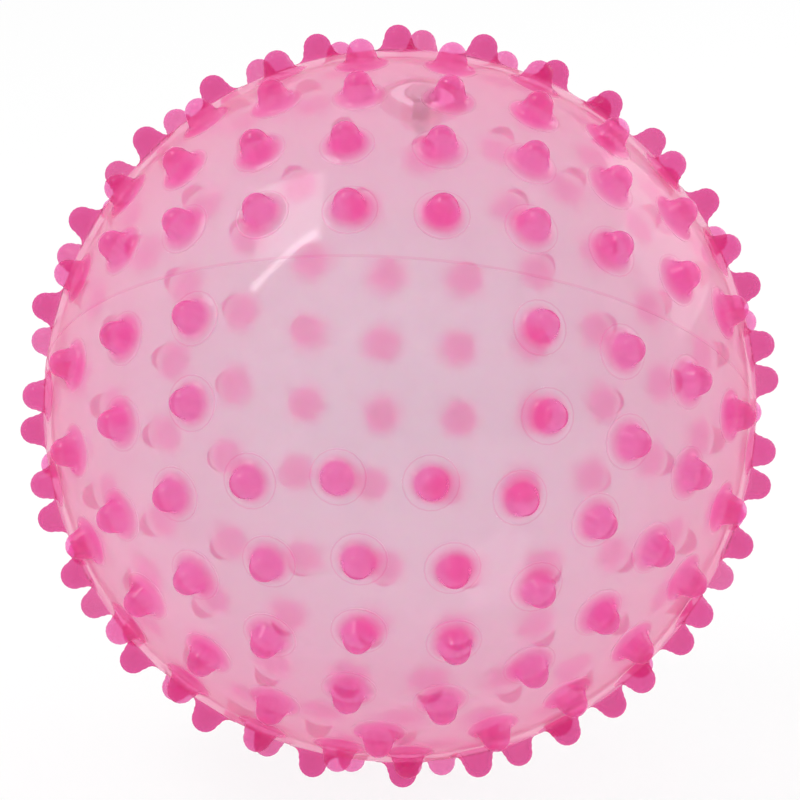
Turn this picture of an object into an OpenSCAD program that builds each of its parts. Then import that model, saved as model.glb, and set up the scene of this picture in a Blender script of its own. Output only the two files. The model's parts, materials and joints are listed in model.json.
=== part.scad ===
// Inflatable sensory ball in translucent soft PVC.
// One hollow moulded skin carries rings of round-ended nubs. A moulded-in seat at the
// upper pole of the mould takes a push-in plug, which is pulled out to let air in or out.
// The origin is the centre of the ball. The ball stands on the tips of three of its nubs,
// with +Z up and its front towards -Y.

/* [Ball] */
// Diameter of the ball over the tips of the nubs
ball_d = 200; // [170:1:300]
// Thickness of the moulded skin
wall = 1.8; // [1.2:0.1:3]
// Width of the raised parting line round the middle of the mould
parting_w = 0.7; // [0.3:0.1:1.5]
// Height of the parting line over the skin
parting_h = 0.12; // [0.05:0.01:0.3]

/* [Nubs] */
// Height of a nub over the skin
nub_h = 6.6; // [5.5:0.1:9]
// Radius of the round tip
tip_r = 3.65; // [2.8:0.05:4]
// Radius of the stem where the flare starts
neck_r = 3.95; // [3:0.05:4.3]
// Radius of the hollow flare between stem and skin
flare_r = 2.5; // [1.5:0.1:2.8]
// Width of the flat margin round the foot of the flare
margin_w = 0.65; // [0.3:0.05:1]
// Height of the margin over the skin, where the mould's nub insert ends
margin_h = 0.1; // [0.05:0.01:0.25]

/* [Nub rings] */
// Angle from the parting line to the first ring on each side, in degrees
first_ring_angle = 7.8; // [7:0.1:9]
// Angle from the parting line to the ring nearest the pole, in degrees
last_ring_angle = 83.8; // [82.5:0.1:84.5]
// Nubs in each ring of the upper half, from the parting line up; the pole has the valve
upper_counts = [26, 24, 22, 18, 14, 8];
// Turn of the first nub of each upper ring from the front, in degrees
upper_turn_angles = [4.2, 3.4, 4.8, 5.8, -8.5, -2];
// Nubs in each ring of the lower half, from the parting line down
lower_counts = [22, 20, 22, 18, 13, 8, 3];
// Turn of the first nub of each lower ring from the front, in degrees
lower_turn_angles = [20.3, 23.9, 6.4, -6.3, -7, -14.3, 4];
// Bare stretch of each lower ring, which keeps the front free of nubs, in degrees
lower_bare_angles = [54, 59, 0, 0, 0, 0, 0];

/* [Stance] */
// Angle below the parting line of the point that faces the front, in degrees
front_angle = 22.4; // [10:0.1:30]
// Angle below the parting line, at the back, of the point that the ball rests on, in degrees
rest_angle = 55.5; // [50:0.5:80]

/* [Valve] */
// Diameter of the seat where it fills the hole in the skin
seat_d = 18; // [15:0.5:24]
// Width of the lip that bonds the seat to the inside of the skin
lip_w = 3; // [1.5:0.1:5]
// Thickness of that lip
lip_t = 1.4; // [0.8:0.1:2.5]
// Diameter of the boss inside the ball
boss_d = 11; // [9:0.1:13]
// Depth of the boss below the skin
boss_h = 8; // [6:0.1:12]
// Diameter of the air hole
bore_d = 5; // [4:0.1:6]
// Diameter of the plug's head
head_d = 10; // [8:0.1:11]
// Thickness of the plug's head at its rim
head_t = 1.1; // [0.8:0.1:1.4]
// Clearance round the plug and under its head
plug_gap = 0.05; // [0.02:0.01:0.1]
// Length of plug that shows below the boss
plug_overhang = 2; // [1:0.1:4]
// Depth of the grooves between the sealing ribs of the plug
groove_t = 0.35; // [0.2:0.05:0.6]
// Width of one sealing rib
rib_w = 1.2; // [0.8:0.1:2]
// Radius of the notch that lets a nail under the head
notch_r = 1.6; // [1.2:0.1:2]

/* [Hidden] */
$fn = 48;
round_fn = 180;

skin_pink = [0.93, 0.66, 0.80, 0.55];
seat_pink = [0.90, 0.55, 0.74, 0.8];
plug_white = [0.95, 0.93, 0.94];

skin_r = ball_d / 2 - nub_h;
inner_r = skin_r - wall;
tip_centre = ball_d / 2 - tip_r;
flare_x = neck_r + flare_r;
foot_r = flare_x + margin_w;
seat_r = seat_d / 2;
bore_r = bore_d / 2;
head_r = head_d / 2;
overrun = 2 * wall;

ring_step = (last_ring_angle - first_ring_angle) / (len(lower_counts) - 1);
upper_nubs = [
    for (ring = [0:len(upper_counts) - 1], k = [0:upper_counts[ring] - 1])
        [first_ring_angle + ring * ring_step, upper_turn_angles[ring] + k * 360 / upper_counts[ring]]
];
lower_nubs = [
    for (ring = [0:len(lower_counts) - 1], k = [0:lower_counts[ring] - 1])
        [-first_ring_angle - ring * ring_step, lower_turn_angles[ring] + k * lower_pitch(ring)]
];

// A ring with a bare stretch has a nub at both ends of its row; a full ring closes on itself
function lower_pitch(ring) =
    let (bare = lower_bare_angles[ring], gaps = lower_counts[ring] - (bare > 0 ? 1 : 0))
        (360 - bare) / gaps;

// Level of the outer skin at a distance from the axis of a nub or of the valve
function skin_level(x) = sqrt(pow(skin_r, 2) - pow(x, 2));

// Unit vector to a place on the ball: an angle over the parting line and a turn from the front
function towards(place) =
    [cos(place[0]) * sin(place[1]), -cos(place[0]) * cos(place[1]), sin(place[0])];
function unit(v) = v / norm(v);

// The ball rests on a facet of the hull round its tips: of all the planes through three
// tips that no other tip passes, the one nearest to the wanted resting point
rest_towards = towards([-rest_angle, 180]);
rest_search_angle = 30;
same_plane = 1e-6;
rest_tips = [
    for (place = lower_nubs)
        if (towards(place) * rest_towards > cos(rest_search_angle)) towards(place)
];
rest_last = len(rest_tips) - 1;
rest_planes = [
    for (i = [0:rest_last - 2], j = [i + 1:rest_last - 1], k = [j + 1:rest_last])
        let (
            flat = unit(cross(rest_tips[j] - rest_tips[i], rest_tips[k] - rest_tips[i])),
            out = flat * rest_tips[i] > 0 ? flat : -flat,
            highest = max([for (tip = rest_tips) tip * out])
        )
            if (highest < out * rest_tips[i] + same_plane) out
];
rest_fits = [for (plane = rest_planes) plane * rest_towards];
rest_down = [for (i = [0:len(rest_planes) - 1]) if (rest_fits[i] == max(rest_fits)) rest_planes[i]][0];

stand_z = -rest_down;
front = towards([-front_angle, 0]);
stand_y = -unit(front - (front * stand_z) * stand_z);
stand_x = cross(stand_y, stand_z);

// Turns what is built round the mould's axis into the way the ball stands
module stand() {
    multmatrix([for (row = [stand_x, stand_y, stand_z]) concat(row, 0)]) children();
}

// Puts a child that points up at its place on the ball
module at_place(place) {
    rotate([0, 0, place[1]]) rotate([90 - place[0], 0, 0]) children();
}

// Half section of a nub, with its height measured from the centre of the ball
module nub_section() {
    margin_inner = sqrt(pow(skin_r + margin_h, 2) - pow(flare_x, 2));
    margin_outer = sqrt(pow(skin_r + margin_h, 2) - pow(foot_r, 2));
    root = (inner_r + skin_level(foot_r)) / 2;
    flare_top = margin_inner + flare_r;
    difference() {
        union() {
            polygon([
                [0, root], [foot_r, root], [foot_r, margin_outer], [flare_x, margin_inner],
                [flare_x, flare_top], [neck_r, flare_top], [tip_r, tip_centre], [0, tip_centre]
            ]);
            translate([0, tip_centre]) circle(tip_r);
        }
        translate([flare_x, flare_top]) circle(flare_r);
        translate([-tip_r, 0]) square([tip_r, ball_d]);
    }
}

module nub() {
    rotate_extrude() nub_section();
}

module parting_line() {
    rotate_extrude($fn = round_fn)
        translate([skin_r - wall / 2, -parting_w / 2]) square([wall / 2 + parting_h, parting_w]);
}

module ball_skin() {
    color(skin_pink) stand() difference() {
        union() {
            sphere(skin_r, $fn = round_fn);
            parting_line();
            for (place = concat(upper_nubs, lower_nubs)) at_place(place) nub();
        }
        sphere(inner_r, $fn = round_fn);
        cylinder(h = skin_r + overrun, r = seat_r);
    }
}

boss_bottom = inner_r - boss_h;
recess_r = head_r + plug_gap;
recess_level = skin_level(head_r) - head_t - plug_gap;

module seat_section() {
    difference() {
        union() {
            intersection() {
                difference() {
                    circle(skin_r, $fn = 2 * round_fn);
                    circle(inner_r - lip_t, $fn = 2 * round_fn);
                }
                square([seat_r, ball_d]);
            }
            intersection() {
                difference() {
                    circle(inner_r, $fn = 2 * round_fn);
                    circle(inner_r - lip_t, $fn = 2 * round_fn);
                }
                square([seat_r + lip_w, ball_d]);
            }
            translate([0, boss_bottom]) square([boss_d / 2, boss_h]);
        }
        square([bore_r, ball_d]);
        translate([0, recess_level]) square([recess_r, overrun]);
    }
}

module valve_seat() {
    color(seat_pink) stand() difference() {
        rotate_extrude() seat_section();
        translate([0, -recess_r, recess_level]) cylinder(h = overrun, r = notch_r);
    }
}

module plug_section() {
    stem_r = bore_r - plug_gap;
    core_r = stem_r - groove_t;
    stem_top = recess_level + plug_gap;
    stem_bottom = boss_bottom - plug_overhang;
    ribs = floor((stem_top - boss_bottom) / (2 * rib_w));
    rib_corners = [
        for (k = [ribs - 1:-1:0], corner = [[core_r, 2], [stem_r, 2], [stem_r, 1], [core_r, 1]])
            [corner[0], stem_top - (corner[1] + 2 * k) * rib_w]
    ];
    intersection() {
        circle(skin_r, $fn = 2 * round_fn);
        polygon(concat(
            [
                [0, stem_bottom - rib_w], [core_r / 2, stem_bottom - rib_w],
                [stem_r, boss_bottom - rib_w], [stem_r, boss_bottom], [core_r, boss_bottom]
            ],
            rib_corners,
            [[core_r, stem_top], [head_r, stem_top], [head_r, ball_d], [0, ball_d]]
        ));
    }
}

module valve_plug() {
    color(plug_white) stand() rotate_extrude() plug_section();
}

ball_skin();
valve_seat();
valve_plug();
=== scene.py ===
"""Looks of an inflatable sensory ball: a translucent soft PVC skin with nubs and an air plug."""

import json
import logging
import math
from dataclasses import dataclass, field
from enum import Enum

import bpy
from mathutils import Matrix, Vector
from mathutils.kdtree import KDTree

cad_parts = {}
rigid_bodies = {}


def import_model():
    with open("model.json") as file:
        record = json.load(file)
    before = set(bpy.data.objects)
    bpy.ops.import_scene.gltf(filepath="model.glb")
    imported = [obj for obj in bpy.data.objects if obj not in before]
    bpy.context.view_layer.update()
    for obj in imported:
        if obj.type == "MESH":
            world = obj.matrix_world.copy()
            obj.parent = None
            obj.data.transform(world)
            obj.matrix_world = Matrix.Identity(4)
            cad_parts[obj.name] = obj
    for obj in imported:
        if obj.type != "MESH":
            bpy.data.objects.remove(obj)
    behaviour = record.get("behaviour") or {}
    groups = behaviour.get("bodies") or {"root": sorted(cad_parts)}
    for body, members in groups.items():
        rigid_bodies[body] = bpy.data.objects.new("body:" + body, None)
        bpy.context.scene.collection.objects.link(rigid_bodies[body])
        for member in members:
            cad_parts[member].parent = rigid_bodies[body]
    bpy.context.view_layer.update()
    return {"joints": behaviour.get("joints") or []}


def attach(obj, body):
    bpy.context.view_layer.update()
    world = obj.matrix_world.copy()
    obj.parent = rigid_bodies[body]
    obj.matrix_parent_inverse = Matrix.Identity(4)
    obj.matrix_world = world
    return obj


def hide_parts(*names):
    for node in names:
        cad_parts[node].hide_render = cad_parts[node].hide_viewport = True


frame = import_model()

MM = 0.001
MERGE_DISTANCE = 1e-6
QUARTER_TURN = math.radians(90)
WHITE = (1.0, 1.0, 1.0)
PINK_LAYER = "pink_depth"
LINE_LAYER = "line_pink"
LOG = logging.getLogger("sensory_ball")

Rgb = tuple[float, float, float]
Source = bpy.types.NodeSocket | Rgb | float


class Body(str, Enum):
    """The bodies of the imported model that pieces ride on."""

    BALL = "ball"
    PLUG = "plug"


class Slot(str, Enum):
    """The material slots of the record."""

    SOFT_PVC = "soft_pvc"
    SEAT_PVC = "seat_pvc"
    PLUG_PLASTIC = "plug_plastic"


class Cut(str, Enum):
    """What a tool does to the solid that it meets."""

    ADD = "UNION"
    TAKE = "DIFFERENCE"


def ease(share: float) -> float:
    """Returns a share held between 0 and 1 and eased at both ends."""
    held = min(max(share, 0.0), 1.0)
    return held * held * (3 - 2 * held)


def deselect() -> None:
    """Leaves nothing selected, so that an operator acts only on what is chosen next."""
    for other in bpy.context.view_layer.objects:
        other.select_set(False)


def activate(piece: bpy.types.Object) -> None:
    """Selects one object and makes it active.

    Args:
        piece: The object.
    """
    deselect()
    piece.select_set(True)
    bpy.context.view_layer.objects.active = piece


def drop(piece: bpy.types.Object) -> None:
    """Removes an object and its mesh.

    Args:
        piece: The object.
    """
    mesh = piece.data
    bpy.data.objects.remove(piece)
    bpy.data.meshes.remove(mesh)


def join(first: bpy.types.Object, others: list[bpy.types.Object]) -> None:
    """Joins objects into the first one.

    Args:
        first: The object that takes the others in.
        others: The objects that go into it.
    """
    activate(first)
    for other in others:
        other.select_set(True)
    bpy.ops.object.join()


def cut(piece: bpy.types.Object, tool: bpy.types.Object, operation: Cut) -> None:
    """Adds a tool to a solid or takes it away, and removes the tool.

    Args:
        piece: The solid that changes.
        tool: The solid that is added to it or taken from it.
        operation: Which of the two is done.
    """
    activate(piece)
    boolean = piece.modifiers.new("boolean", "BOOLEAN")
    boolean.solver = "MANIFOLD"
    boolean.operation = operation.value
    boolean.object = tool
    bpy.ops.object.modifier_apply(modifier=boolean.name)
    drop(tool)


def cylinder(sides: int, radius: float, depth: float,
             location: tuple[float, float, float]) -> bpy.types.Object:
    """Models a cylinder that runs along the mould's axis.

    Args:
        sides: Number of its sides.
        radius: Its radius.
        depth: Its length.
        location: Its middle.

    Returns:
        The closed solid, with its origin at the centre of the ball.
    """
    deselect()
    bpy.ops.mesh.primitive_cylinder_add(
        vertices=sides, radius=radius, depth=depth, location=location)
    solid = bpy.context.active_object
    bpy.ops.object.transform_apply(location=True, rotation=False, scale=False)
    return solid


@dataclass
class Stance:
    """How the ball stands: the turn from the mould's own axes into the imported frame.

    The plug slides along the mould's axis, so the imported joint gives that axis. The front of
    the ball faces -Y, a fixed angle below the parting line.
    """

    front_angle: float = math.radians(22.4)
    axis: Vector = field(default_factory=lambda: Vector(frame["joints"][0]["axis"]).normalized())

    def elevation(self) -> float:
        """Works out how far the front of the ball looks up.

        Returns:
            The angle over the floor.
        """
        lean = math.atan2(self.axis.y, self.axis.z)
        reach = math.hypot(self.axis.y, self.axis.z)
        return lean - math.asin(math.sin(self.front_angle) / reach)

    def towards_front(self) -> Vector:
        """Returns the unit vector from the centre of the ball to the middle of its front."""
        rise = self.elevation()
        return Vector((0, -math.cos(rise), math.sin(rise)))

    def matrix(self) -> Matrix:
        """Works out the turn from the mould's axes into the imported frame.

        Returns:
            The turn.
        """
        back = -(self.towards_front() + math.sin(self.front_angle) * self.axis)
        back.normalize()
        side = back.cross(self.axis)
        return Matrix((side, back, self.axis)).transposed().to_4x4()


@dataclass
class NubRings:
    """The rings of nubs on both halves of the mould, as angles in degrees."""

    first_ring: float = 7.8
    last_ring: float = 83.8
    upper_counts: tuple[int, ...] = (26, 24, 22, 18, 14, 8)
    upper_turns: tuple[float, ...] = (4.2, 3.4, 4.8, 5.8, -8.5, -2)
    lower_counts: tuple[int, ...] = (22, 20, 22, 18, 13, 8, 3)
    lower_turns: tuple[float, ...] = (20.3, 23.9, 6.4, -6.3, -7, -14.3, 4)
    lower_bare: tuple[float, ...] = (54, 59, 0, 0, 0, 0, 0)

    def places(self) -> list[tuple[float, float]]:
        """Lists the nubs.

        Returns:
            The angle over the parting line and the turn from the front of each nub.
        """
        step = (self.last_ring - self.first_ring) / (len(self.lower_counts) - 1)
        found = []
        for ring, (count, turn) in enumerate(zip(self.upper_counts, self.upper_turns)):
            rise = self.first_ring + ring * step
            found += [(rise, turn + k * 360 / count) for k in range(count)]
        for ring, (count, turn) in enumerate(zip(self.lower_counts, self.lower_turns)):
            bare = self.lower_bare[ring]
            pitch = (360 - bare) / (count - 1 if bare else count)
            fall = -self.first_ring - ring * step
            found += [(fall, turn + k * pitch) for k in range(count)]
        return found


@dataclass
class BallSkin:
    """The moulded skin with its nubs, parting line, hollow inside and hole for the valve.

    Its pinks are shares of the full pink of a nub. The pink of a nub is full within core_r of
    the nub's axis and ends at root_r; on the inner wall it is full within inner_core_r.
    A face belongs to the round wall where its corners lie within round_margin of it and the
    cosine between its normal and the way out from the centre is least_facing or more.
    """

    skin_r: float = 93.4 * MM
    wall: float = 1.8 * MM
    nub_h: float = 6.6 * MM
    tip_r: float = 3.65 * MM
    neck_r: float = 3.95 * MM
    flare_r: float = 2.5 * MM
    margin_w: float = 0.65 * MM
    margin_h: float = 0.1 * MM
    parting_w: float = 0.7 * MM
    parting_h: float = 0.12 * MM
    seat_r: float = 9 * MM
    bead_w: float = 0.5 * MM
    bead_h: float = 0.06 * MM
    core_r: float = 4.0 * MM
    inner_core_r: float = 4.6 * MM
    root_r: float = 6.6 * MM
    inner_pink: float = 0.88
    pole_pink: float = 0.1
    pole_start: float = 0.75
    bead_pink: float = 0.4
    line_pink: float = 0.2
    sides: int = 20
    dome_steps: int = 5
    flare_steps: int = 4
    sphere_cuts: int = 6
    parting_sides: int = 180
    hole_sides: int = 96
    smooth_angle: float = math.radians(32)
    round_margin: float = 0.03 * MM
    least_facing: float = 0.98
    rings: NubRings = field(default_factory=NubRings)

    def inner_r(self) -> float:
        """Returns the radius of the hollow inside."""
        return self.skin_r - self.wall

    def outline(self) -> list[tuple[float, float]]:
        """Lists the corners of half a nub from its root to its tip.

        Returns:
            The radius and the height over the centre of the ball of each corner.
        """
        level = self.skin_r + self.margin_h
        flare_x = self.neck_r + self.flare_r
        foot_r = flare_x + self.margin_w
        inner = math.sqrt(level ** 2 - flare_x ** 2)
        outer = math.sqrt(level ** 2 - foot_r ** 2)
        bead = (foot_r - self.bead_w / 2, outer + self.bead_h)
        points = [(foot_r, self.inner_r()), (foot_r, outer), bead,
                  (foot_r - self.bead_w, outer), (flare_x, inner)]
        for k in range(1, self.flare_steps + 1):
            turn = QUARTER_TURN * k / self.flare_steps
            points.append((flare_x - self.flare_r * math.sin(turn),
                           inner + self.flare_r * (1 - math.cos(turn))))
        tip_centre = self.skin_r + self.nub_h - self.tip_r
        for k in range(self.dome_steps):
            turn = QUARTER_TURN * k / self.dome_steps
            points.append((self.tip_r * math.cos(turn), tip_centre + self.tip_r * math.sin(turn)))
        points.append((0.0, self.skin_r + self.nub_h))
        return points

    def nub(self) -> bpy.types.Object:
        """Models one nub, pointing up from the centre of the ball.

        Returns:
            The nub as a closed solid.
        """
        outline = self.outline()
        radius, height = outline[0]
        bpy.ops.mesh.primitive_circle_add(
            vertices=self.sides, radius=radius, fill_type="NGON", location=(0, 0, height))
        nub = bpy.context.active_object
        bpy.ops.object.transform_apply(location=True, rotation=False, scale=False)
        bpy.ops.object.mode_set(mode="EDIT")
        bpy.ops.mesh.select_all(action="SELECT")
        for next_radius, next_height in outline[1:-1]:
            bpy.ops.mesh.extrude_region_move(
                TRANSFORM_OT_translate={"value": (0, 0, next_height - height)})
            share = next_radius / radius
            bpy.ops.transform.resize(value=(share, share, 1), center_override=(0, 0, next_height))
            radius, height = next_radius, next_height
        bpy.ops.mesh.extrude_region_move(
            TRANSFORM_OT_translate={"value": (0, 0, outline[-1][1] - height)})
        bpy.ops.mesh.merge(type="CENTER")
        bpy.ops.mesh.select_all(action="SELECT")
        bpy.ops.mesh.remove_doubles(threshold=MERGE_DISTANCE)
        bpy.ops.mesh.normals_make_consistent(inside=False)
        bpy.ops.object.mode_set(mode="OBJECT")
        return nub

    def nubs(self) -> bpy.types.Object:
        """Copies the nub to every place on the ball.

        Returns:
            All nubs in one object.
        """
        model = self.nub()
        copies = []
        for rise, turn in self.rings.places():
            copy = bpy.data.objects.new("nub", model.data.copy())
            bpy.context.scene.collection.objects.link(copy)
            spin = Matrix.Rotation(math.radians(turn), 4, "Z")
            copy.data.transform(spin @ Matrix.Rotation(math.radians(90 - rise), 4, "X"))
            copies.append(copy)
        drop(model)
        join(copies[0], copies[1:])
        return copies[0]

    def sphere(self, radius: float) -> bpy.types.Object:
        """Models a round solid.

        Args:
            radius: Its radius.

        Returns:
            The solid.
        """
        deselect()
        bpy.ops.mesh.primitive_ico_sphere_add(subdivisions=self.sphere_cuts, radius=radius)
        return bpy.context.active_object

    def build(self) -> bpy.types.Object:
        """Models the skin in the mould's own axes.

        Returns:
            The skin as a closed shell.
        """
        skin = self.sphere(self.skin_r)
        skin.name = skin.data.name = "pvc_skin"
        parting = cylinder(self.parting_sides, self.skin_r + self.parting_h, self.parting_w,
                           (0, 0, 0))
        cut(skin, parting, Cut.ADD)
        cut(skin, self.nubs(), Cut.ADD)
        cut(skin, self.sphere(self.inner_r()), Cut.TAKE)
        hole = cylinder(self.hole_sides, self.seat_r, self.skin_r, (0, 0, self.skin_r))
        cut(skin, hole, Cut.TAKE)
        return skin

    def round_off(self, skin: bpy.types.Object) -> None:
        """Shades the skin smoothly, with the round wall's own normals on its round faces.

        Args:
            skin: The skin in the mould's own axes.
        """
        activate(skin)
        bpy.ops.object.shade_smooth_by_angle(angle=self.smooth_angle)
        mesh = skin.data
        near = self.round_margin
        normals = [tuple(item.vector) for item in mesh.corner_normals]
        for face in mesh.polygons:
            corners = [mesh.vertices[index].co for index in face.vertices]
            lengths = [corner.length for corner in corners]
            if all(abs(length - self.inner_r()) < near for length in lengths):
                sign = -1.0
            elif all(-near < length - self.skin_r < self.margin_h + near for length in lengths):
                sign = 1.0
            else:
                continue
            if abs(face.normal.dot(corners[0].normalized())) < self.least_facing:
                continue
            for loop, corner in zip(face.loop_indices, corners):
                normals[loop] = tuple(sign * corner.normalized())
        mesh.normals_split_custom_set(normals)

    def axes(self) -> KDTree:
        """Lists the ways in which the nubs point.

        Returns:
            A search tree of unit vectors.
        """
        places = self.rings.places()
        tree = KDTree(len(places))
        for index, (rise, turn) in enumerate(places):
            rise, turn = math.radians(rise), math.radians(turn)
            tree.insert((math.cos(rise) * math.sin(turn), -math.cos(rise) * math.cos(turn),
                         math.sin(rise)), index)
        tree.balance()
        return tree

    def tint(self, skin: bpy.types.Object) -> None:
        """Writes how pink each corner of the skin is.

        One layer holds the nubs. The other holds the inner wall under them, the poles, the
        beads round the feet and the parting line.

        Args:
            skin: The skin in the mould's own axes.
        """
        tree = self.axes()
        foot_r = self.neck_r + self.flare_r + self.margin_w
        depth = skin.data.attributes.new(PINK_LAYER, "FLOAT", "POINT")
        lines = skin.data.attributes.new(LINE_LAYER, "FLOAT", "POINT")
        for index, vertex in enumerate(skin.data.vertices):
            distance = vertex.co.length
            axis, _, _ = tree.find(vertex.co.normalized())
            reach = (vertex.co - vertex.co.dot(axis) * axis).length
            polar = (abs(vertex.co.z) / distance - self.pole_start) / (1 - self.pole_start)
            fine = self.pole_pink * ease(polar)
            outside = distance > self.skin_r - self.wall / 2
            core_r = self.core_r if outside else self.inner_core_r
            share = min(max((self.root_r - reach) / (self.root_r - core_r), 0.0), 1.0)
            if outside:
                depth.data[index].value = share
            else:
                fine = max(fine, self.inner_pink * share)
            if distance > self.skin_r + self.margin_h / 2:
                if abs(reach - foot_r + self.bead_w / 2) < self.bead_w / 4:
                    fine = max(fine, self.bead_pink)
                elif abs(vertex.co.z) < self.parting_w:
                    fine = max(fine, self.line_pink)
            lines.data[index].value = fine


@dataclass
class Valve:
    """The seat that is moulded into the skin, and the plug that is pushed into its air hole."""

    skin: BallSkin
    lip_w: float = 3 * MM
    lip_t: float = 1.4 * MM
    boss_r: float = 5.5 * MM
    boss_h: float = 8 * MM
    bore_r: float = 2.5 * MM
    head_r: float = 5 * MM
    head_t: float = 1.1 * MM
    plug_gap: float = 0.05 * MM
    plug_overhang: float = 2 * MM
    groove_t: float = 0.35 * MM
    rib_w: float = 1.2 * MM
    notch_r: float = 1.6 * MM
    bond_gap: float = 0.03 * MM
    edge: float = 0.12 * MM
    edge_steps: int = 2
    edge_angle: float = math.radians(40)
    sides: int = 64
    notch_sides: int = 32
    arc_steps: int = 6

    def boss_bottom(self) -> float:
        """Returns the level of the lower end of the boss."""
        return self.skin.inner_r() - self.boss_h

    def recess_level(self) -> float:
        """Returns the level of the floor under the plug's head."""
        return math.sqrt(self.skin.skin_r ** 2 - self.head_r ** 2) - self.head_t - self.plug_gap

    def arc(self, radius: float, start: float, end: float) -> list[tuple[float, float]]:
        """Lists points of a round wall seen in section.

        Args:
            radius: Distance of the wall from the centre of the ball.
            start: Distance of the first point from the mould's axis.
            end: Distance of the last point from it.

        Returns:
            The distance from the axis and the height of each point.
        """
        reaches = [start + (end - start) * k / self.arc_steps for k in range(self.arc_steps + 1)]
        return [(reach, math.sqrt(radius ** 2 - reach ** 2)) for reach in reaches]

    def turned(self, name: str, section: list[tuple[float, float]]) -> bpy.types.Object:
        """Turns a half section round the mould's axis.

        Args:
            name: Name of the piece.
            section: The distance from the axis and the height of each corner, all round it.

        Returns:
            The closed piece.
        """
        deselect()
        bpy.ops.mesh.primitive_circle_add(vertices=len(section), radius=self.boss_r)
        piece = bpy.context.active_object
        piece.name = piece.data.name = name
        for vertex, (reach, height) in zip(piece.data.vertices, section):
            vertex.co = (reach, 0, height)
        bpy.ops.object.mode_set(mode="EDIT")
        bpy.ops.mesh.select_all(action="SELECT")
        bpy.ops.mesh.spin(steps=self.sides, angle=math.tau, center=(0, 0, 0), axis=(0, 0, 1))
        bpy.ops.mesh.select_all(action="SELECT")
        bpy.ops.mesh.remove_doubles(threshold=MERGE_DISTANCE)
        bpy.ops.mesh.dissolve_degenerate(threshold=MERGE_DISTANCE)
        bpy.ops.mesh.normals_make_consistent(inside=False)
        bpy.ops.object.mode_set(mode="OBJECT")
        return piece

    def soften(self, piece: bpy.types.Object) -> None:
        """Rounds the moulded edges and shades the rest smoothly.

        Args:
            piece: The piece.
        """
        activate(piece)
        bevel = piece.modifiers.new("edges", "BEVEL")
        bevel.width = self.edge
        bevel.segments = self.edge_steps
        bevel.limit_method = "ANGLE"
        bevel.angle_limit = self.edge_angle
        bpy.ops.object.modifier_apply(modifier=bevel.name)
        bpy.ops.object.shade_smooth_by_angle(angle=self.edge_angle)

    def seat(self) -> bpy.types.Object:
        """Models the seat with its lip, boss, air hole and recess.

        Returns:
            The seat in the mould's own axes.
        """
        wall_r = self.skin.inner_r()
        recess_r = self.head_r + self.plug_gap
        side_r = self.skin.seat_r - self.bond_gap
        lip_r = self.skin.seat_r + self.lip_w
        floor = self.recess_level()
        section = [(self.bore_r, self.boss_bottom()), (self.boss_r, self.boss_bottom())]
        section += self.arc(wall_r - self.lip_t, self.boss_r, lip_r)
        section += self.arc(wall_r - self.bond_gap, lip_r, side_r)
        section += self.arc(self.skin.skin_r, side_r, recess_r)
        section += [(recess_r, floor), (self.bore_r, floor)]
        piece = self.turned("seat_bush", section)
        notch = cylinder(self.notch_sides, self.notch_r, self.skin.wall,
                         (0, -recess_r, floor + self.skin.wall / 2))
        cut(piece, notch, Cut.TAKE)
        self.soften(piece)
        return piece

    def plug(self) -> bpy.types.Object:
        """Models the plug with its head, ribbed stem and tapered end.

        Returns:
            The plug in the mould's own axes.
        """
        stem_r = self.bore_r - self.plug_gap
        core_r = stem_r - self.groove_t
        top = self.recess_level() + self.plug_gap
        bottom = self.boss_bottom() - self.plug_overhang
        ribs = int((top - self.boss_bottom()) / (2 * self.rib_w))
        section = [(0.0, bottom - self.rib_w), (core_r / 2, bottom - self.rib_w),
                   (stem_r, self.boss_bottom() - self.rib_w), (stem_r, self.boss_bottom()),
                   (core_r, self.boss_bottom())]
        for k in reversed(range(ribs)):
            low, high = top - (2 + 2 * k) * self.rib_w, top - (1 + 2 * k) * self.rib_w
            section += [(core_r, low), (stem_r, low), (stem_r, high), (core_r, high)]
        section += [(core_r, top), (self.head_r, top)]
        section += self.arc(self.skin.skin_r, self.head_r, 0.0)
        piece = self.turned("air_plug", section)
        self.soften(piece)
        return piece


def feed(tree: bpy.types.NodeTree, source: Source, socket: bpy.types.NodeSocket) -> None:
    """Links a source to a socket, or sets the socket where the source is a plain value.

    Args:
        tree: The node tree.
        source: A socket, a linear colour or a number.
        socket: The socket that takes it.
    """
    if isinstance(source, bpy.types.NodeSocket):
        tree.links.new(source, socket)
    else:
        socket.default_value = (*source, 1.0) if isinstance(source, tuple) else source


def calculate(tree: bpy.types.NodeTree, operation: str, *sources: Source) -> bpy.types.NodeSocket:
    """Calculates with numbers.

    Args:
        tree: The node tree.
        operation: Name of the operation, as the Math node has it.
        sources: What it works on, in order.

    Returns:
        The socket with the result.
    """
    node = tree.nodes.new("ShaderNodeMath")
    node.operation = operation
    for socket, source in zip(node.inputs, sources):
        feed(tree, source, socket)
    return node.outputs["Value"]


def blend(tree: bpy.types.NodeTree, share: Source, first: Source,
          second: Source) -> bpy.types.NodeSocket:
    """Mixes two colours.

    Args:
        tree: The node tree.
        share: Share of the second colour.
        first: The first colour.
        second: The second colour.

    Returns:
        The socket with the mixed colour.
    """
    node = tree.nodes.new("ShaderNodeMix")
    node.data_type = "RGBA"
    feed(tree, share, node.inputs["Factor"])
    feed(tree, first, node.inputs["A"])
    feed(tree, second, node.inputs["B"])
    return node.outputs["Result"]


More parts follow.
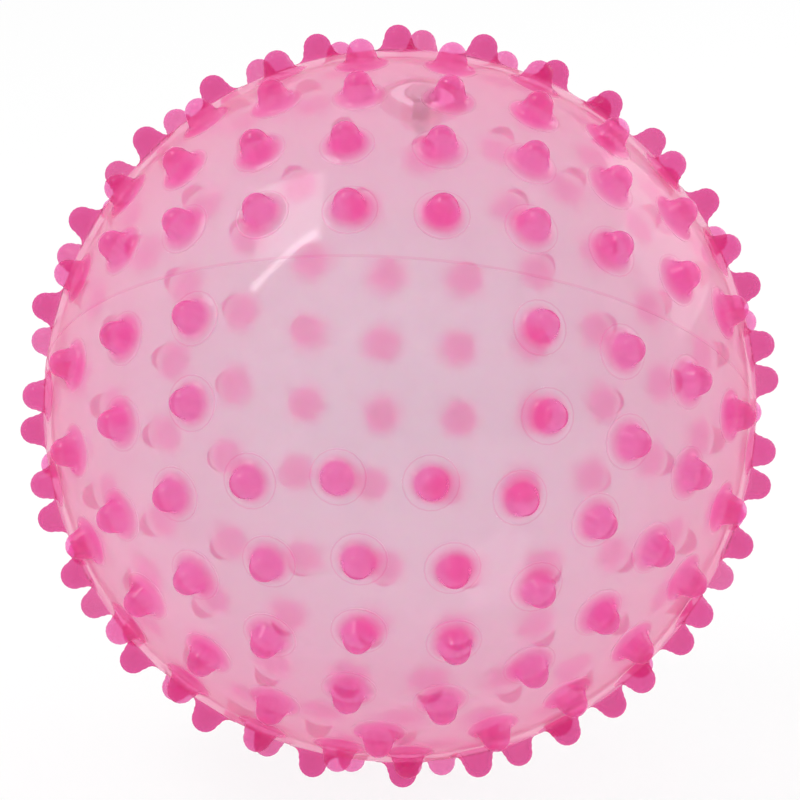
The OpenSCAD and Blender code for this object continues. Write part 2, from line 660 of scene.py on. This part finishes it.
def spread(tree: bpy.types.NodeTree, value: Source, start: float = 0.0, end: float = 1.0,
           low: Source = 0.0, high: Source = 1.0) -> bpy.types.NodeSocket:
    """Maps a value onto another range and holds it there.

    Args:
        tree: The node tree.
        value: The value.
        start: Value that gives the low result.
        end: Value that gives the high result.
        low: The low result.
        high: The high result.

    Returns:
        The socket with the result.
    """
    node = tree.nodes.new("ShaderNodeMapRange")
    ends = {"Value": value, "From Min": start, "From Max": end, "To Min": low, "To Max": high}
    for label, source in ends.items():
        feed(tree, source, node.inputs[label])
    return node.outputs["Result"]


def layer(tree: bpy.types.NodeTree, name: str) -> bpy.types.NodeSocket:
    """Reads a layer that the corners of the skin hold.

    Args:
        tree: The node tree.
        name: Name of the layer.

    Returns:
        The socket with its value.
    """
    node = tree.nodes.new("ShaderNodeAttribute")
    node.attribute_name = name
    return node.outputs["Fac"]


def node_tree(name: str) -> tuple[bpy.types.Material, bpy.types.NodeTree, bpy.types.Node]:
    """Makes a material with a Principled shader.

    Args:
        name: Name of the material.

    Returns:
        The material, its node tree and its shader node.
    """
    material = bpy.data.materials.new(name)
    material.use_nodes = True
    tree = material.node_tree
    return material, tree, tree.nodes["Principled BSDF"]


@dataclass(frozen=True)
class Cloud:
    """Faint cloudiness of poured PVC: slow changes of colour and gloss, shared by all finishes.

    Its depth is how much darker the clouds are, its scale how fine they are, per metre, and
    its roughness that of the surface between the clouds.
    """

    depth: float = 0.06
    scale: float = 30.0
    roughness: float = 0.05
    detail: float = 3.0
    rough_gain: float = 0.3
    name: str = "pvc_cloud"

    def group(self) -> bpy.types.NodeTree:
        """Builds the shared node group once.

        Returns:
            The group, which takes a colour and puts out the clouded colour and a roughness.
        """
        made = bpy.data.node_groups.get(self.name)
        if made:
            return made
        tree = bpy.data.node_groups.new(self.name, "ShaderNodeTree")
        face = tree.interface
        face.new_socket("Colour", in_out="INPUT", socket_type="NodeSocketColor")
        for label in ("Depth", "Scale", "Roughness"):
            face.new_socket(label, in_out="INPUT", socket_type="NodeSocketFloat")
        face.new_socket("Colour", in_out="OUTPUT", socket_type="NodeSocketColor")
        face.new_socket("Roughness", in_out="OUTPUT", socket_type="NodeSocketFloat")
        taken = tree.nodes.new("NodeGroupInput").outputs
        given = tree.nodes.new("NodeGroupOutput").inputs
        place = tree.nodes.new("ShaderNodeTexCoord")
        noise = tree.nodes.new("ShaderNodeTexNoise")
        noise.inputs["Detail"].default_value = self.detail
        tree.links.new(place.outputs["Object"], noise.inputs["Vector"])
        tree.links.new(taken["Scale"], noise.inputs["Scale"])
        strength = calculate(tree, "MULTIPLY", noise.outputs["Fac"], taken["Depth"])
        shade = tree.nodes.new("ShaderNodeVectorMath")
        shade.operation = "SCALE"
        tree.links.new(taken["Colour"], shade.inputs[0])
        tree.links.new(calculate(tree, "SUBTRACT", 1.0, strength), shade.inputs["Scale"])
        tree.links.new(shade.outputs["Vector"], given["Colour"])
        rough = calculate(tree, "MULTIPLY_ADD", strength, self.rough_gain, taken["Roughness"])
        tree.links.new(rough, given["Roughness"])
        return tree

    def apply(self, tree: bpy.types.NodeTree, shader: bpy.types.Node, colour: Source) -> None:
        """Puts the cloudiness between a colour and a shader.

        Args:
            tree: Node tree of the material.
            shader: Its Principled shader.
            colour: The colour, as a socket or as a value.
        """
        cloud = tree.nodes.new("ShaderNodeGroup")
        cloud.node_tree = self.group()
        cloud.inputs["Depth"].default_value = self.depth
        cloud.inputs["Scale"].default_value = self.scale
        cloud.inputs["Roughness"].default_value = self.roughness
        feed(tree, colour, cloud.inputs["Colour"])
        tree.links.new(cloud.outputs["Colour"], shader.inputs["Base Color"])
        tree.links.new(cloud.outputs["Roughness"], shader.inputs["Roughness"])


@dataclass(frozen=True)
class SoftPvc:
    """Translucent soft PVC: the far side shows through, a little milky, deep pink where thick.

    Tilt, rim and gloss_fade are measured by how far a place on the ball is turned away from
    the eye, from 0 in the middle of the ball to 1 at its rim. The powers say how closely the
    pink keeps to the axis of a nub, in the middle and at the rim. The colours that follow the
    turn away from the eye are painted shade: a deeper rim shade on the wall, shifted and
    deeper pinks on tilted and rim nubs, and a wide spread of nub pink at the rim, for the
    longer path of light through the skin seen at a slant. The paler pink on nubs seen from
    inside the skin is painted light.
    """

    name: str = "soft_pvc_look"
    wall_colour: Rgb = (0.91, 0.79, 0.852)
    # painted shade: the deeper, darker pink that the wall takes towards the rim of the ball
    painted_rim_shade: Rgb = (0.96, 0.545, 0.695)
    nub_colour: Rgb = (1.0, 0.165, 0.5)
    # painted shade: the pink of nubs that tilt away from the eye
    painted_tilted_nub_shade: Rgb = (0.98, 0.17, 0.54)
    # painted light: the paler pink of nubs seen from inside the skin
    painted_inner_nub_light: Rgb = (1.0, 0.6, 0.8)
    # painted shade: the deeper, darker pink of nubs at the rim of the ball
    painted_rim_nub_shade: Rgb = (0.79, 0.125, 0.37)
    slant_blend: float = 0.5
    turn_blend: float = 0.833
    tilt_end: float = 0.35
    rim_start: float = 0.7
    rim_end: float = 0.88
    gloss_fade: float = 0.55
    face_power: float = 2.5
    # painted shade: at the rim the nub pink spreads over the whole flare and root
    painted_rim_spread_power: float = 0.05
    transmission: float = 0.86
    ior: float = 1.002
    coat: float = 0.35
    coat_roughness: float = 0.07
    scatter: float = 1.0
    scatter_radius: Rgb = (1.0, 0.4, 0.7)
    scatter_depth: float = 4 * MM
    absorb_colour: Rgb = (1.0, 0.25, 0.5)
    absorb_density: float = 14.0
    cloud: Cloud = Cloud(depth=0.05, scale=22.0, roughness=0.01)

    def material(self, has_nubs: bool = True) -> bpy.types.Material:
        """Builds the material.

        Args:
            has_nubs: Whether the piece holds the layers that tell its pink nubs from its wall.

        Returns:
            The material.
        """
        material, tree, shader = node_tree(self.name)
        place = tree.nodes.new("ShaderNodeTexCoord")
        outward = tree.nodes.new("ShaderNodeVectorTransform")
        outward.vector_type = "NORMAL"
        outward.convert_from, outward.convert_to = "OBJECT", "WORLD"
        tree.links.new(place.outputs["Object"], outward.inputs["Vector"])
        facing = self.turned_away(tree, outward.outputs["Vector"], self.slant_blend)
        # painted shade: the wall darkens to a deeper pink towards the rim of the ball
        colour = blend(tree, facing, self.wall_colour, self.painted_rim_shade)
        if has_nubs:
            # painted shade: towards the rim the nub pink spreads over the whole flare and root
            turned = self.turned_away(tree, outward.outputs["Vector"], self.turn_blend)
            power = spread(tree, turned, low=self.face_power, high=self.painted_rim_spread_power)
            deep = calculate(tree, "POWER", layer(tree, PINK_LAYER), power)
            deeper = calculate(tree, "MAXIMUM", deep, layer(tree, LINE_LAYER))
            colour = blend(tree, deeper, colour, self.nub_shade(tree, facing))
        self.cloud.apply(tree, shader, colour)
        shader.inputs["IOR"].default_value = self.ior
        shader.inputs["Transmission Weight"].default_value = self.transmission
        tree.links.new(self.gloss(tree, facing), shader.inputs["Coat Weight"])
        shader.inputs["Coat Roughness"].default_value = self.coat_roughness
        shader.inputs["Subsurface Weight"].default_value = self.scatter
        shader.inputs["Subsurface Radius"].default_value = self.scatter_radius
        shader.inputs["Subsurface Scale"].default_value = self.scatter_depth
        volume = tree.nodes.new("ShaderNodeVolumeAbsorption")
        feed(tree, self.absorb_colour, volume.inputs["Color"])
        volume.inputs["Density"].default_value = self.absorb_density
        output = tree.nodes["Material Output"]
        tree.links.new(volume.outputs["Volume"], output.inputs["Volume"])
        return material

    def turned_away(self, tree: bpy.types.NodeTree, outward: bpy.types.NodeSocket,
                    weight: float) -> bpy.types.NodeSocket:
        """Measures how far a place on the ball is turned away from the eye.

        Args:
            tree: Node tree of the material.
            outward: The way from the centre of the ball to the place.
            weight: How soon the measure rises from the middle of the ball to its rim.

        Returns:
            The socket with the measure, from 0 to 1.
        """
        node = tree.nodes.new("ShaderNodeLayerWeight")
        node.inputs["Blend"].default_value = weight
        tree.links.new(outward, node.inputs["Normal"])
        return node.outputs["Facing"]

    def nub_shade(self, tree: bpy.types.NodeTree,
                  facing: bpy.types.NodeSocket) -> bpy.types.NodeSocket:
        """Makes the nub pink: painted shade on tilted and rim nubs, painted light seen from
        inside.

        Args:
            tree: Node tree of the material.
            facing: How far the place on the ball is turned away, from 0 to 1.

        Returns:
            The socket that puts out the pink.
        """
        tilt = spread(tree, facing, end=self.tilt_end)
        # painted shade: the nub pink shifts as the nub tilts away from the eye
        near = blend(tree, tilt, self.nub_colour, self.painted_tilted_nub_shade)
        side = tree.nodes.new("ShaderNodeNewGeometry")
        # painted light: a paler pink where the nub is seen from inside the skin
        seen = blend(tree, side.outputs["Backfacing"], near, self.painted_inner_nub_light)
        rim = spread(tree, facing, start=self.rim_start, end=self.rim_end)
        # painted shade: nubs at the rim take a deeper, darker pink
        return blend(tree, rim, seen, self.painted_rim_nub_shade)

    def gloss(self, tree: bpy.types.NodeTree,
              facing: bpy.types.NodeSocket) -> bpy.types.NodeSocket:
        """Makes the gloss of the surface as seen from the air side, less towards the rim.

        Args:
            tree: Node tree of the material.
            facing: How far the place on the ball is turned away, from 0 to 1.

        Returns:
            The socket that puts out the weight of the gloss.
        """
        outer = spread(tree, facing, start=self.gloss_fade, low=self.coat, high=0.0)
        side = tree.nodes.new("ShaderNodeNewGeometry")
        return spread(tree, side.outputs["Backfacing"], low=outer, high=0.0)


@dataclass(frozen=True)
class PlugPlastic:
    """Moulded plastic of the air plug: milky, smooth and a little uneven."""

    name: str = "plug_plastic_look"
    colour: Rgb = (1.0, 0.8, 0.89)
    transmission: float = 0.72
    ior: float = 1.01
    coat: float = 0.6
    scatter: float = 1.0
    scatter_radius: Rgb = (1.0, 0.8, 0.9)
    scatter_depth: float = 2 * MM
    dimple_height: float = 0.05 * MM
    dimple_scale: float = 900.0
    dimple_strength: float = 0.4
    cloud: Cloud = Cloud(depth=0.08, scale=180.0, roughness=0.12)

    def material(self) -> bpy.types.Material:
        """Builds the material.

        Returns:
            The material.
        """
        material, tree, shader = node_tree(self.name)
        self.cloud.apply(tree, shader, self.colour)
        shader.inputs["Transmission Weight"].default_value = self.transmission
        shader.inputs["IOR"].default_value = self.ior
        shader.inputs["Coat Weight"].default_value = self.coat
        shader.inputs["Subsurface Weight"].default_value = self.scatter
        shader.inputs["Subsurface Radius"].default_value = self.scatter_radius
        shader.inputs["Subsurface Scale"].default_value = self.scatter_depth
        place = tree.nodes.new("ShaderNodeTexCoord")
        grain = tree.nodes.new("ShaderNodeTexNoise")
        grain.inputs["Scale"].default_value = self.dimple_scale
        tree.links.new(place.outputs["Object"], grain.inputs["Vector"])
        bump = tree.nodes.new("ShaderNodeBump")
        bump.inputs["Distance"].default_value = self.dimple_height
        bump.inputs["Strength"].default_value = self.dimple_strength
        tree.links.new(grain.outputs["Fac"], bump.inputs["Height"])
        tree.links.new(bump.outputs["Normal"], shader.inputs["Normal"])
        return material


def seat_in_frame(piece: bpy.types.Object, stance: Stance, body: Body, node: str,
                  material: bpy.types.Material) -> None:
    """Turns a piece as the ball stands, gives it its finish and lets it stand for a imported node.

    Args:
        piece: The piece in the mould's own axes.
        stance: How the ball stands.
        body: The body that it rides on.
        node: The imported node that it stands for.
        material: Its finish.
    """
    activate(piece)
    piece.matrix_world = stance.matrix()
    bpy.ops.object.transform_apply(location=True, rotation=True, scale=True)
    piece.data.materials.clear()
    piece.data.materials.append(material)
    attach(piece, body.value)
    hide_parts(node)
    LOG.info("%s: %d faces, %d corners", piece.name, len(piece.data.polygons),
             len(piece.data.vertices))


@dataclass(frozen=True)
class Lamp:
    """A rectangular soft lamp that faces the ball; its longer side runs along one way."""

    name: str
    place: tuple[float, float, float]
    along: tuple[float, float, float]
    size: tuple[float, float]
    watts: float

    def hang(self) -> None:
        """Adds the lamp to the scene."""
        data = bpy.data.lights.new(self.name, "AREA")
        data.shape = "RECTANGLE"
        data.size, data.size_y = self.size
        data.energy = self.watts
        lamp = bpy.data.objects.new(self.name, data)
        bpy.context.scene.collection.objects.link(lamp)
        lamp.location = self.place
        away = Vector(self.place).normalized()
        across = Vector(self.along).cross(away).normalized()
        lamp.rotation_euler = Matrix((across, away.cross(across), away)).transposed().to_euler()


@dataclass
class Studio:
    """Camera, soft lamps, white surroundings and a pale floor.

    The room that the gloss mirrors grows from dim to bright between room_front and room_back,
    which are directions along Y.
    """

    stance: Stance
    distance: float = 0.934
    lens: float = 159.6
    sensor: float = 36.0
    aim_rise: float = 1.55 * MM
    floor_level: float = -98.87 * MM
    floor_size: float = 30.0
    floor_colour: Rgb = (0.92, 0.92, 0.92)
    floor_roughness: float = 0.9
    floor_glow: float = 0.87
    light_level: float = 0.85
    room_level: float = 0.15
    room_front: float = -0.7
    room_back: float = 0.2
    lamps: tuple[Lamp, ...] = (
        Lamp("left_softbox", (-0.97, -0.22, 1.74), (0.18, 0.98, 0.12), (0.65, 0.9), 11),
        Lamp("left_strip", (-1.07, -0.68, 1.54), (0.76, 0.21, 0.62), (0.08, 0.8), 3),
        Lamp("right_softbox", (1.5, 1.1, 0.72), (-0.57, 0.82, -0.12), (0.9, 1.5), 10),
    )

    def camera(self) -> None:
        """Sets the camera at the photograph's viewing angle."""
        towards = self.stance.towards_front()
        rise = self.stance.elevation()
        data = bpy.data.cameras.new("camera")
        data.lens = self.lens
        data.sensor_width = self.sensor
        camera = bpy.data.objects.new("camera", data)
        bpy.context.scene.collection.objects.link(camera)
        up = Vector((0, math.sin(rise), math.cos(rise)))
        camera.location = towards * self.distance + up * self.aim_rise
        camera.rotation_euler = (-towards).to_track_quat("-Z", "Y").to_euler()
        bpy.context.scene.camera = camera

    def surroundings(self) -> None:
        """Makes the world plain white to the eye and a soft light to the object."""
        world = bpy.data.worlds.new("surroundings")
        bpy.context.scene.world = world
        world.use_nodes = True
        tree = world.node_tree
        path = tree.nodes.new("ShaderNodeLightPath").outputs
        seen = calculate(tree, "MAXIMUM", path["Is Camera Ray"], path["Is Glossy Ray"])
        through = calculate(tree, "MAXIMUM", seen, path["Is Transmission Ray"])
        level = spread(tree, through, low=self.light_level)
        towards = tree.nodes.new("ShaderNodeTexCoord")
        sides = tree.nodes.new("ShaderNodeSeparateXYZ")
        tree.links.new(towards.outputs["Generated"], sides.inputs["Vector"])
        room = spread(tree, sides.outputs["Y"], self.room_front, self.room_back, self.room_level)
        room.node.interpolation_type = "SMOOTHSTEP"
        mirrored = tree.nodes.new("ShaderNodeMix")
        tree.links.new(path["Is Glossy Ray"], mirrored.inputs["Factor"])
        tree.links.new(level, mirrored.inputs["A"])
        tree.links.new(room, mirrored.inputs["B"])
        back = tree.nodes["Background"]
        feed(tree, WHITE, back.inputs["Color"])
        tree.links.new(mirrored.outputs["Result"], back.inputs["Strength"])

    def floor(self) -> None:
        """Lays the pale floor."""
        deselect()
        bpy.ops.mesh.primitive_plane_add(size=self.floor_size, location=(0, 0, self.floor_level))
        floor = bpy.context.active_object
        floor.name = "floor"
        material, tree, shader = node_tree("floor_paper")
        feed(tree, self.floor_colour, shader.inputs["Base Color"])
        shader.inputs["Roughness"].default_value = self.floor_roughness
        glow = tree.nodes.new("ShaderNodeEmission")
        mix = tree.nodes.new("ShaderNodeMixShader")
        mix.inputs["Fac"].default_value = self.floor_glow
        tree.links.new(shader.outputs["BSDF"], mix.inputs[1])
        tree.links.new(glow.outputs["Emission"], mix.inputs[2])
        output = tree.nodes["Material Output"]
        tree.links.new(mix.outputs["Shader"], output.inputs["Surface"])
        floor.data.materials.append(material)

    def build(self) -> None:
        """Sets up the whole studio."""
        self.camera()
        self.surroundings()
        self.floor()
        for lamp in self.lamps:
            lamp.hang()
        bpy.context.scene.view_settings.view_transform = "Standard"


def main() -> None:
    """Builds the pieces in order and reports each one."""
    logging.basicConfig(level=logging.INFO, format="%(name)s: %(message)s")
    stance = Stance()
    Studio(stance).build()
    maker = BallSkin()
    skin = maker.build()
    maker.round_off(skin)
    maker.tint(skin)
    seat_in_frame(skin, stance, Body.BALL, "ball_skin", SoftPvc().material())
    valve = Valve(maker)
    # the seat's wall also takes the painted rim shade
    seat_look = SoftPvc(name="seat_pvc_look", wall_colour=(0.98, 0.81, 0.89),
                        painted_rim_shade=(0.98, 0.66, 0.79), transmission=0.985, coat=0.2)
    seat_in_frame(valve.seat(), stance, Body.BALL, "valve_seat",
                  seat_look.material(has_nubs=False))
    seat_in_frame(valve.plug(), stance, Body.PLUG, "valve_plug",
                  PlugPlastic().material())


if __name__ == "__main__":
    main()
